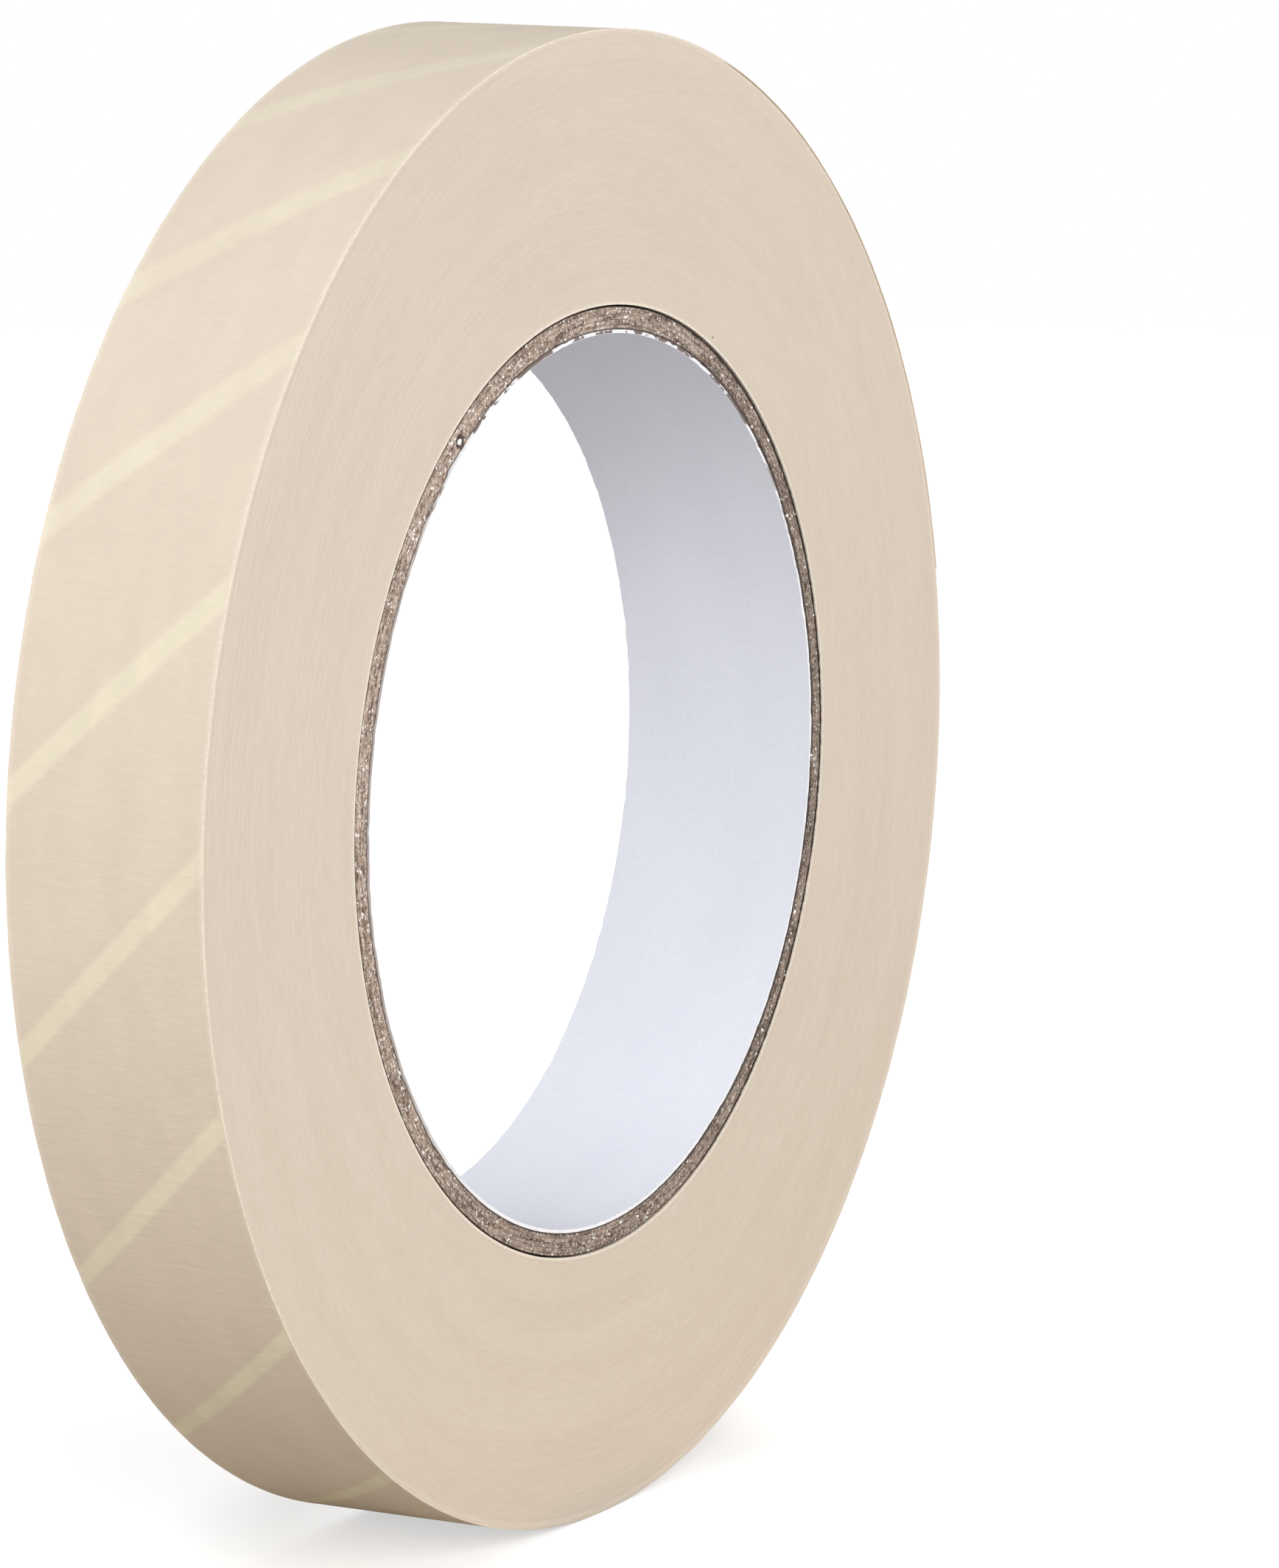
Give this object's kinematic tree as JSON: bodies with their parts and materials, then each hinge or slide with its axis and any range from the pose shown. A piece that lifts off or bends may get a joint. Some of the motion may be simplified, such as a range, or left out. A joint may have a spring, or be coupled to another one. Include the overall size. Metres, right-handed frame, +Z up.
{
  "type": "masking tape roll",
  "caption": "Roll of tan creped masking tape with pale diagonal stripes on a kraft board core; the free end peels up.",
  "frame": {"origin": "centre of the core's bore, midway between the side faces", "axes": "+Y along the bore to the back side face; +Z up, with the roll standing on its rim"},
  "size_m": [0.1272, 0.0184, 0.1273],
  "materials": {
    "core_liner": "smooth white liner paper",
    "core_board": "grey-brown recycled kraft board",
    "tape": "creped tan paper with pale stripes",
    "adhesive": "tacky natural rubber film"
  },
  "bodies": {
    "roll": {"core_liner": "core_liner", "core_ply_1": "core_board", "core_ply_2": "core_board", "core_ply_3": "core_board", "core_ply_4": "core_board", "core_ply_5": "core_board", "tape_windings": "tape", "tape_outer_turn": "tape"},
    "free_end_1": {"tape_end_1": "tape", "tape_end_adhesive_1": "adhesive"},
    "free_end_2": {"tape_end_2": "tape", "tape_end_adhesive_2": "adhesive"},
    "free_end_3": {"tape_end_3": "tape", "tape_end_adhesive_3": "adhesive"},
    "free_end_4": {"tape_end_4": "tape", "tape_end_adhesive_4": "adhesive"},
    "free_end_5": {"tape_end_5": "tape", "tape_end_adhesive_5": "adhesive"},
    "free_end_6": {"tape_end_6": "tape", "tape_end_adhesive_6": "adhesive"},
    "free_end_7": {"tape_end_7": "tape", "tape_end_adhesive_7": "adhesive"},
    "free_end_8": {"tape_end_8": "tape", "tape_end_adhesive_8": "adhesive"}
  },
  "joints": [
    {"name": "peel_1", "type": "hinge", "parent": "roll", "child": "free_end_1", "pos_m": [0.0245, 0, 0.05889], "axis": [0, -1, 0], "range_deg": [0, 30]},
    {"name": "peel_2", "type": "hinge", "parent": "free_end_1", "child": "free_end_2", "pos_m": [0.03167, 0, 0.05538], "axis": [0, -1, 0], "range_deg": [0, 30]},
    {"name": "peel_3", "type": "hinge", "parent": "free_end_2", "child": "free_end_3", "pos_m": [0.03834, 0, 0.05099], "axis": [0, -1, 0], "range_deg": [0, 30]},
    {"name": "peel_4", "type": "hinge", "parent": "free_end_3", "child": "free_end_4", "pos_m": [0.04442, 0, 0.0458], "axis": [0, -1, 0], "range_deg": [0, 30]},
    {"name": "peel_5", "type": "hinge", "parent": "free_end_4", "child": "free_end_5", "pos_m": [0.0498, 0, 0.0399], "axis": [0, -1, 0], "range_deg": [0, 30]},
    {"name": "peel_6", "type": "hinge", "parent": "free_end_5", "child": "free_end_6", "pos_m": [0.0544, 0, 0.03337], "axis": [0, -1, 0], "range_deg": [0, 30]},
    {"name": "peel_7", "type": "hinge", "parent": "free_end_6", "child": "free_end_7", "pos_m": [0.05814, 0, 0.02631], "axis": [0, -1, 0], "range_deg": [0, 30]},
    {"name": "peel_8", "type": "hinge", "parent": "free_end_7", "child": "free_end_8", "pos_m": [0.06097, 0, 0.01885], "axis": [0, -1, 0], "range_deg": [0, 30]}
  ]
}
